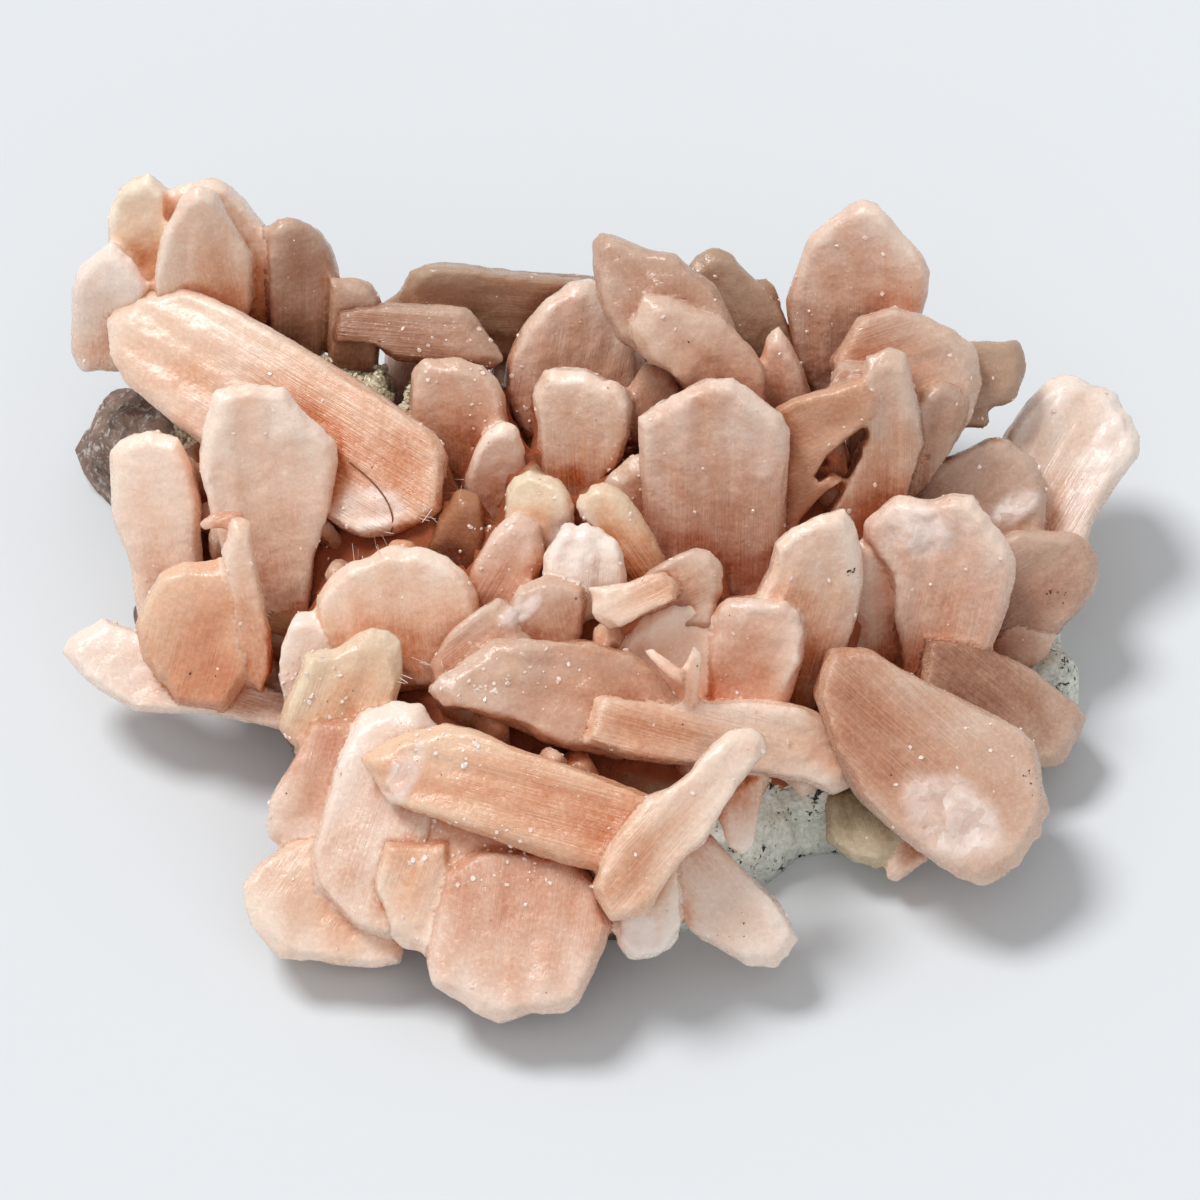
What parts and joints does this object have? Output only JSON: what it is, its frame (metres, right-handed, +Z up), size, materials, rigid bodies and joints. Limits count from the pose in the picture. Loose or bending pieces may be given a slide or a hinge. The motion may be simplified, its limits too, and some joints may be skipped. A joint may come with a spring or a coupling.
{
  "type": "stilbite crystal cluster on basalt",
  "caption": "Hand specimen of intergrown tabular stilbite crystals in fans and sheaves, standing on a flat-bottomed lump of basalt.",
  "frame": {"origin": "middle of the flat underside of the rock, on the surface it rests on", "axes": "+X along the longest side, +Z up, away from the surface it rests on, -Y towards the cluster's front"},
  "size_m": [0.1367, 0.1124, 0.0499],
  "materials": {
    "basalt": "rough broken rock, dark with pale speckled patches",
    "stilbite": "peach-pink, milky and slightly translucent, vitreous to pearly"
  },
  "bodies": {
    "root": {"basalt_matrix": "basalt", "stilbite_crystals": "stilbite"}
  },
  "joints": []
}
